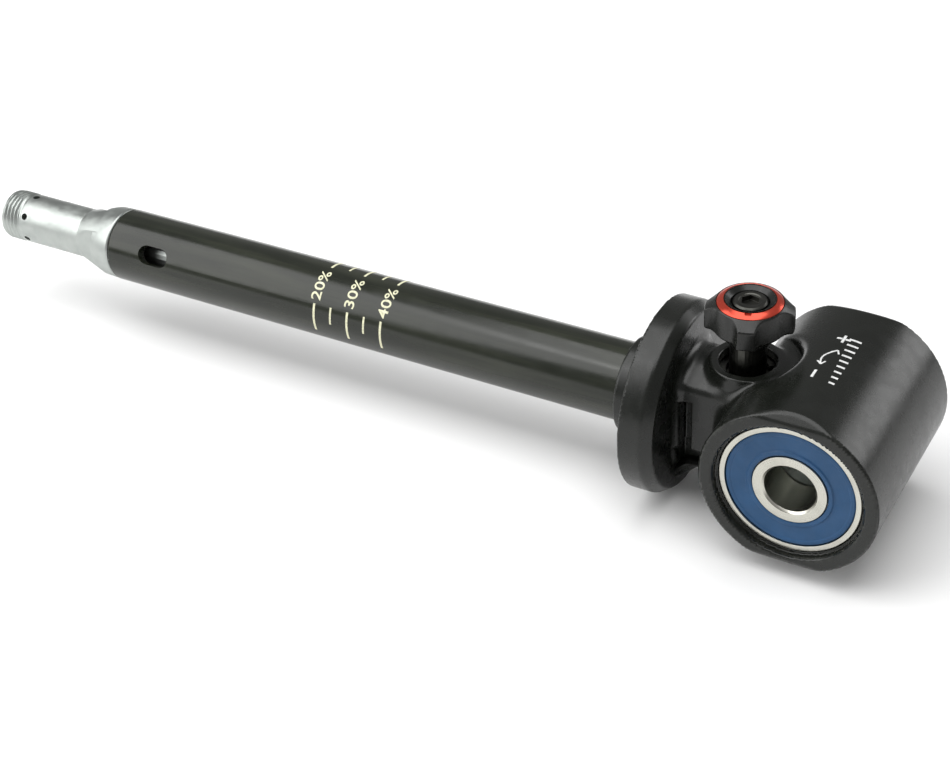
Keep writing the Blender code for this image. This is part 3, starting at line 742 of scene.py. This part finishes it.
def make_shaft():
    low, high = SHAFT_LOW.x, SHAFT_HIGH.x
    outline = [(high, SHAFT_BORE), (high, SHAFT_RADIUS), (low, SHAFT_RADIUS), (low, SHAFT_BORE)]
    tube = to_mesh("shaft", spun(rounded(outline, 0.3, 4), "X", 144))
    slot = stadium(SLOT_LENGTH, SLOT_WIDTH)
    slots = [radial_prism(slot, SLOT_CENTRE, SLOT_ANGLE + turn, low=3.5, high=8)
             for turn in (0, math.pi)]
    mesh = smooth(carved(tube, slots, bevel=0.16))
    add_object("shaft_tube", mesh, TUBE, "housing", ["damper_shaft"])


def thread_height(along):
    """How much of the thread stands at this place: it fades in and out over half a millimetre."""
    start, end, fade = TIP_LOW.x + 0.25, TIP_LOW.x + 4.1, 0.5
    return max(0.0, min(1.0, (along - start) / fade, (end - along) / fade))


def thread_shift(along, radius, angle):
    """A helical thread with narrow roots on the tip's outside, and nothing in its bore."""
    if radius < 3.5 or along > TIP_LOW.x + 4.2:
        return 0.0
    phase = (along / THREAD_PITCH - angle / math.tau) % 1.0
    crest = abs(2 * phase - 1)
    return THREAD_DEPTH * thread_height(along) * (min(crest * 1.25, 1.0) - 0.5)


def make_tip():
    """The threaded tip with its ports, a neck, and facets on the cone behind the neck."""
    end = TIP_LOW.x
    rim = TIP_HIGH.x - 4.8 - 0.15
    thread = [(end, TIP_BORE), (end, 4.1)]
    thread += [(end + 0.2 + 0.09 * step, THREAD_RADIUS) for step in range(46)]
    shank = [(end + 4.5, TIP_NECK_RADIUS), (-138.8, TIP_NECK_RADIUS), (-133.0, 6.2), (rim, 6.3),
             (rim, TIP_PLUG_RADIUS), (TIP_HIGH.x, TIP_PLUG_RADIUS), (TIP_HIGH.x, ROD_BORE),
             (-146, ROD_BORE), (-147, TIP_BORE)]
    shank = rounded([thread[-1], *shank, thread[0]], 0.45, 4, closed=False)[1:-1]
    tip = to_mesh("tip", spun(thread + shank, "X", 96, radius_shift=thread_shift))
    circle = [(PORT_RADIUS * math.cos(angle), PORT_RADIUS * math.sin(angle))
              for angle in np.linspace(0, math.tau, 24, endpoint=False)]
    cutters = [radial_prism(circle, PORT_PLANE, math.radians(35 + 360 / PORT_COUNT * port), 1, 6)
               for port in range(PORT_COUNT)]
    flat = [(-2.8, -5), (2.8, -5), (2.8, 5), (-2.8, 5)]
    cutters += [radial_prism(flat, FACET_PLANE, math.radians(9 + 360 / FACET_COUNT * side), 4.7, 8)
                for side in range(FACET_COUNT)]
    mesh = smooth(carved(tip, cutters), sharp=40)
    add_object("threaded_tip", mesh, BRIGHT, "housing", ["shaft_tip"])


# ---------------------------------------------------------------- printing

def wrapped(mesh, radius, place, low, high, slice_width):
    """Slice a flat sheet of ink between two arcs, thicken it, and bend it round a cylinder.

    place(u, v, radius) gives the bent point.
    """
    for step in range(int((high - low) / slice_width) + 1):
        geometry = list(mesh.verts) + list(mesh.edges) + list(mesh.faces)
        bmesh.ops.bisect_plane(mesh, geom=geometry, dist=1e-5,
                               plane_co=(0, low + step * slice_width, 0), plane_no=(0, 1, 0))
    base = list(mesh.faces)
    top = bmesh.ops.extrude_face_region(mesh, geom=base, use_keep_orig=True)["geom"]
    raised = {item for item in top if isinstance(item, bmesh.types.BMVert)}
    for vert in mesh.verts:
        u, v = vert.co.x, vert.co.y
        vert.co = place(u, v, radius + (INK_TOP if vert in raised else INK_BOTTOM))
    return mesh


def flat_rectangle(mesh, low_u, high_u, low_v, high_v):
    corners = [(low_u, low_v), (high_u, low_v), (high_u, high_v), (low_u, high_v)]
    mesh.faces.new([mesh.verts.new((u, v, 0)) for u, v in corners])


DIGIT_HEIGHT = 0.729


def flat_text(mesh, text, height, place):
    """Add a word as flat faces. place(part, up) gives the sheet's point for a share of the
    word's width and a height over its foot. A digit stands DIGIT_HEIGHT of the font's size."""
    curve = bpy.data.curves.new("word", "FONT")
    curve.body = text
    curve.size = height / DIGIT_HEIGHT
    curve.resolution_u = 5
    curve.offset = 0.03
    curve.space_character = 1.02
    letters = evaluated(linked("word", curve))
    width = max(vert.co.x for vert in letters.vertices)
    start = len(mesh.verts)
    mesh.from_mesh(letters)
    mesh.verts.ensure_lookup_table()
    for vert in mesh.verts[start:]:
        vert.co = Vector((*place(vert.co.x / width, vert.co.y), 0))
    bmesh.ops.remove_doubles(mesh, verts=mesh.verts, dist=1e-4)


def on_shaft(along, arc, radius):
    """Sheet place to shaft place: v is the arc length from the -Y side, up over the top."""
    angle = arc / SHAFT_RADIUS
    return Vector((along, -radius * math.cos(angle), radius * math.sin(angle)))


def on_barrel(across, arc, radius):
    """Sheet place to barrel place: u runs along Y, and v is the arc length from the top towards +X."""
    angle = arc / BARREL_RADIUS
    return Vector((radius * math.sin(angle), across, radius * math.cos(angle)))


def make_sag_marks():
    """Long and short sag lines with their percentages, printed on the shaft."""
    degree = math.radians(1) * SHAFT_RADIUS
    long_half, long_arcs = 0.2, ((-20, 27), (93, 138))
    short_half, short_arcs = 0.17, ((0, 27), (97, 122))
    digit_height, digit_shift = 1.9, 0.95
    start, run = 32 * degree, 50 * degree
    sheet = bmesh.new()
    for index in range(SAG_COUNT):
        along = SAG_START + SAG_PITCH * index
        for low, high in long_arcs:
            flat_rectangle(sheet, along - long_half, along + long_half, low * degree, high * degree)
        if index < SAG_COUNT - 1:
            between = along + SAG_PITCH / 2
            for low, high in short_arcs:
                flat_rectangle(sheet, between - short_half, between + short_half,
                               low * degree, high * degree)
        flat_text(sheet, f"{20 + 10 * index}%", digit_height,
                  lambda part, up: (along + digit_shift - up, start + run * part))
    mesh = wrapped(sheet, SHAFT_RADIUS, on_shaft, low=-3.0, high=16.0, slice_width=0.25)
    add_object("sag_marks", to_mesh("sag_marks", mesh), CREAM_INK, "housing")


def add_strokes(sheet, strokes, half):
    """Straight strokes of even width, each from one sheet point to another."""
    for (u1, v1), (u2, v2) in strokes:
        run = Vector((u2 - u1, v2 - v1)).normalized() * half
        side = Vector((-run.y, run.x))
        start, end = Vector((u1, v1)), Vector((u2, v2))
        corners = [start - side, end - side, end + side, start + side]
        sheet.faces.new([sheet.verts.new((*corner, 0)) for corner in corners])


def add_minus(sheet):
    flat_rectangle(sheet, -4.9, -3.0, -1.15, -0.75)


def add_plus(sheet):
    flat_rectangle(sheet, 4.9, 6.8, -0.2, 0.2)
    flat_rectangle(sheet, 5.65, 6.05, 0.25, 1.05)
    flat_rectangle(sheet, 5.65, 6.05, -1.05, -0.25)


def add_arrow(sheet):
    """A bowed line with a barbed head at both ends."""
    half = 0.13
    bends = [(-1.4 + 4.2 * part, -0.9 + 1.1 * part - 0.9 * math.sin(math.pi * part))
             for part in np.linspace(0, 1, 9)]
    add_strokes(sheet, list(zip(bends, bends[1:])), half)
    for tip, back in ((bends[0], 1), (bends[-1], -1)):
        barbs = [(tip[0] + back * 0.75, tip[1] - 0.75), (tip[0] + back * 0.9, tip[1] + 0.45)]
        add_strokes(sheet, [(tip, barb) for barb in barbs], half)


def add_click_lines(sheet):
    """A row of lines that grow taller, all standing on one foot line."""
    foot, width, pitch = 2.6, 0.38, 1.4
    for index in range(9):
        across = -5.2 + pitch * index
        tall = 0.9 + 0.12 * index
        flat_rectangle(sheet, across, across + width, foot - tall, foot)


def make_barrel_marks():
    """Plain adjuster marks: minus, a two-way arrow, plus, and a row of click lines."""
    sheet = bmesh.new()
    add_minus(sheet)
    add_plus(sheet)
    add_arrow(sheet)
    add_click_lines(sheet)
    mesh = wrapped(sheet, BARREL_RADIUS, on_barrel, low=-3.0, high=3.0, slice_width=0.5)
    add_object("adjuster_marks", to_mesh("adjuster_marks", mesh), WHITE_INK, "housing")


# ---------------------------------------------------------------- rebound adjuster

def make_knob():
    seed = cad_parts["rebound_knob"].data.copy()
    mesh = shaped_by_field("knob_body", seed, knob_field, voxel=0.13)
    mesh.materials.clear()
    add_object("knob_body", mesh, KNOB_BLACK, "rebound_adjuster", ["rebound_knob"])


def make_ring():
    """The red ring with a sloping face, and a notch in it over the knob's front rib."""
    outline = [(RING_LOW.z, RING_OUTER), (KNOB_SHOULDER, RING_OUTER), (RING_TOP, RING_INNER),
               (RING_LOW.z, RING_INNER)]
    mesh = to_mesh("ring", spun(rounded(outline, 0.1), "Z", 128, (KNOB_X, 0, 0)))
    notch = [(-0.55, -0.6), (0.55, -0.6), (0.45, -0.1), (-0.45, -0.1)]
    notch_floor, notch_radius, notch_height = 20.95, 4.5, 0.7
    outward = Vector((math.cos(KNOB_CORNER), math.sin(KNOB_CORNER), 0))
    sideways = Vector((-outward.y, outward.x, 0))

    def place(across, up, end):
        base = Vector((KNOB_X, 0, notch_floor)) + outward * (notch_radius + up)
        return base + sideways * across + Vector((0, 0, notch_height * end))

    mesh = smooth(carved(mesh, [prism(notch, place)]))
    add_object("index_ring", mesh, RED, "rebound_adjuster", ["knob_ring"])


def make_screw():
    """A socket-head screw with a rolled rim and a hexagon socket."""
    low, high = SCREW_LOW.z, SCREW_HIGH.z
    head_foot = 19.7
    outline = [(low, 0), (low, SCREW_SHANK - 0.1), (low + 0.1, SCREW_SHANK),
               (head_foot, SCREW_SHANK), (head_foot, SCREW_HEAD), (high - 0.25, SCREW_HEAD),
               (high, SCREW_HEAD - 0.3), (high, 1.75), (high - 0.12, 1.6), (high - 0.12, 0)]
    outline = rounded(outline, 0.08, closed=False)
    mesh = to_mesh("screw", spun(outline, "Z", 96, (KNOB_X, 0, 0), closed=False))
    corners = [KNOB_CORNER + math.radians(60 * index) for index in range(6)]
    hexagon = [(SOCKET_CORNER * math.cos(angle), SOCKET_CORNER * math.sin(angle))
               for angle in corners]

    def place(u, v, end):
        return Vector((KNOB_X + u, v, SOCKET_FLOOR + 3 * end))

    mesh = smooth(carved(mesh, [prism(hexagon, place)], bevel=0.05))
    add_object("socket_screw", mesh, DARK_STEEL, "rebound_adjuster", ["knob_screw"])


# ---------------------------------------------------------------- bearings

def make_bearing(side_name, side):
    """Ring, core and seal of one bearing, with small ground chamfers and a lipped seal."""
    face = side * RACE_FACE

    def at(depth, radius):
        """A point that far in from the bearing's outer face."""
        return (face - side * depth, radius)

    width = RACE_HIGH.y - RACE_LOW.y
    outer = [at(0, RACE_LIP), at(0, 10.86), at(0.14, RACE_HIGH.x), at(width - 0.14, RACE_HIGH.x),
             at(width, 10.86), at(width, RACE_LIP), at(width - 0.75, RACE_LIP),
             at(width - 0.75, RACE_LAND), at(4.6, RACE_LAND), at(3.5, 9.5), at(2.4, RACE_LAND),
             at(0.75, RACE_LAND), at(0.75, RACE_LIP)]
    mesh = smooth(to_mesh("outer", spun(rounded(outer, 0.07), "Y", 144)))
    add_object(f"outer_ring_{side_name}", mesh, STEEL, "housing", [f"outer_race_{side_name}"])
    core = [at(0.35, CORE_BORE), at(0.0, 4.33), at(0, CORE_LIP), at(0.8, CORE_LIP),
            at(0.8, CORE_RADIUS), at(2.2, CORE_RADIUS), at(3.5, 5.5), at(4.8, CORE_RADIUS),
            at(width - 0.8, CORE_RADIUS), at(width - 0.8, CORE_LIP), at(width, CORE_LIP),
            at(width, 4.33), at(width - 0.35, CORE_BORE)]
    mesh = smooth(to_mesh("core", spun(rounded(core, 0.06), "Y", 144)))
    add_object(f"core_ring_{side_name}", mesh, STEEL, "pivot_core", [f"inner_race_{side_name}"])
    seal = [at(0.18, 5.92), at(0.10, 6.15), at(0.10, 6.55), at(0.30, 6.75), at(0.34, 7.0),
            at(0.26, 9.15), at(0.16, 9.35), at(0.16, 9.8), at(0.32, 9.98), at(0.64, 9.98),
            at(0.64, 5.87), at(0.4, 5.87)]
    mesh = smooth(to_mesh("seal", spun(rounded(seal, 0.06), "Y", 144)))
    add_object(f"lip_seal_{side_name}", mesh, BLUE, "housing", [f"seal_{side_name}_outside"])


def finish_inner_parts():
    """Kept CAD nodes get the finish of their kind, and so do the replaced seals."""
    finishes = {
        "rebound_rod": BRIGHT, "bearing_spacer": BRIGHT, "rebound_needle": SPRING_STEEL,
        "needle_spring": SPRING_STEEL, "detent_spring": SPRING_STEEL, "detent_ball": STEEL,
        "adjuster_stem": DARK_STEEL, "stem_circlip": DARK_STEEL, "stem_oring": BLACK_RUBBER,
        "rod_oring_front": BLACK_RUBBER, "rod_oring_rear": BLACK_RUBBER,
    }
    for name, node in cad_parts.items():
        if name.startswith(("ball_", "cage_")):
            finishes[name] = STEEL
        elif name.startswith("seal_"):
            finishes[name] = BLUE
        if name in finishes:
            node.data.materials.clear()
            node.data.materials.append(finishes[name])


# ---------------------------------------------------------------- camera, floor and light

CAMERA_LENS = 72.15
CAMERA_PLACE = Vector((71.97, -217.52, 176.41))
CAMERA_AZIMUTH = 31.31
CAMERA_ELEVATION = 35.97
CAMERA_ROLL = -3.69
FLOOR_HALF = 3000
FLOOR_GAP = 0.6
WORLD_STRENGTH = 0.3

# Each soft box's name, place, aim and size in metres, and its power in watts
SOFT_BOXES = [
    ("top_box", (-0.06, -0.05, 0.85), (-0.06, 0, 0), (0.8, 0.8), 6),
    ("left_box", (-0.46, -0.26, 0.36), (-0.06, 0, 0), (0.6, 0.6), 3.2),
    ("right_box", (0.33, 0.46, 0.2), (0, 0, 0), (0.3, 0.26), 0.8),
]


def view_axes(azimuth, elevation, roll):
    """The camera's right, up and backward directions."""
    a, e, r = (math.radians(angle) for angle in (azimuth, elevation, roll))
    right = Vector((math.cos(a), math.sin(a), 0))
    up = Vector((-math.sin(a) * math.sin(e), math.cos(a) * math.sin(e), math.cos(e)))
    back = Vector((math.sin(a) * math.cos(e), -math.cos(a) * math.cos(e), math.sin(e)))
    return (right * math.cos(r) + up * math.sin(r), up * math.cos(r) - right * math.sin(r), back)


def make_camera():
    data = bpy.data.cameras.new("camera")
    data.lens = CAMERA_LENS
    data.sensor_width = 36
    data.clip_start = 0.01
    camera = linked("camera", data)
    right, up, back = view_axes(CAMERA_AZIMUTH, CAMERA_ELEVATION, CAMERA_ROLL)
    place = CAMERA_PLACE * MM
    camera.matrix_world = Matrix((
        (right.x, up.x, back.x, place.x), (right.y, up.y, back.y, place.y),
        (right.z, up.z, back.z, place.z), (0, 0, 0, 1)))
    bpy.context.scene.camera = camera


def make_floor():
    finish = Finish("pale_floor", (0.92, 0.92, 0.915), 0.9)
    mottle = finish.noise(scale=3, detail=2)
    finish.drive("Base Color", finish.mix(mottle, (0.90, 0.90, 0.90), (0.93, 0.93, 0.925)))
    mesh = bmesh.new()
    height = HOUSING_LOW.z - FLOOR_GAP
    corners = ((-1, -1), (1, -1), (1, 1), (-1, 1))
    mesh.faces.new([mesh.verts.new((FLOOR_HALF * u, FLOOR_HALF * v, height)) for u, v in corners])
    floor = linked("floor", to_mesh("floor", mesh))
    floor.data.materials.append(finish.material)


def soft_light(name, place, target, size, power):
    data = bpy.data.lights.new(name, "AREA")
    data.shape = "RECTANGLE"
    data.size, data.size_y = size
    data.energy = power
    lamp = linked(name, data)
    lamp.location = place
    lamp.rotation_euler = (Vector(target) - Vector(place)).to_track_quat("-Z", "Y").to_euler()


def make_light():
    world = bpy.data.worlds.new("studio")
    world.use_nodes = True
    background = world.node_tree.nodes["Background"]
    background.inputs["Color"].default_value = (1, 1, 1, 1)
    background.inputs["Strength"].default_value = WORLD_STRENGTH
    bpy.context.scene.world = world
    bpy.context.scene.view_settings.view_transform = "Standard"
    for name, place, target, size, power in SOFT_BOXES:
        soft_light(name, place, target, size, power)


make_camera()
make_floor()
make_light()
make_housing()
make_shaft()
make_tip()
make_sag_marks()
make_barrel_marks()
make_knob()
make_ring()
make_screw()
for bearing_name, bearing_side in (("near", -1), ("far", 1)):
    make_bearing(bearing_name, bearing_side)
finish_inner_parts()
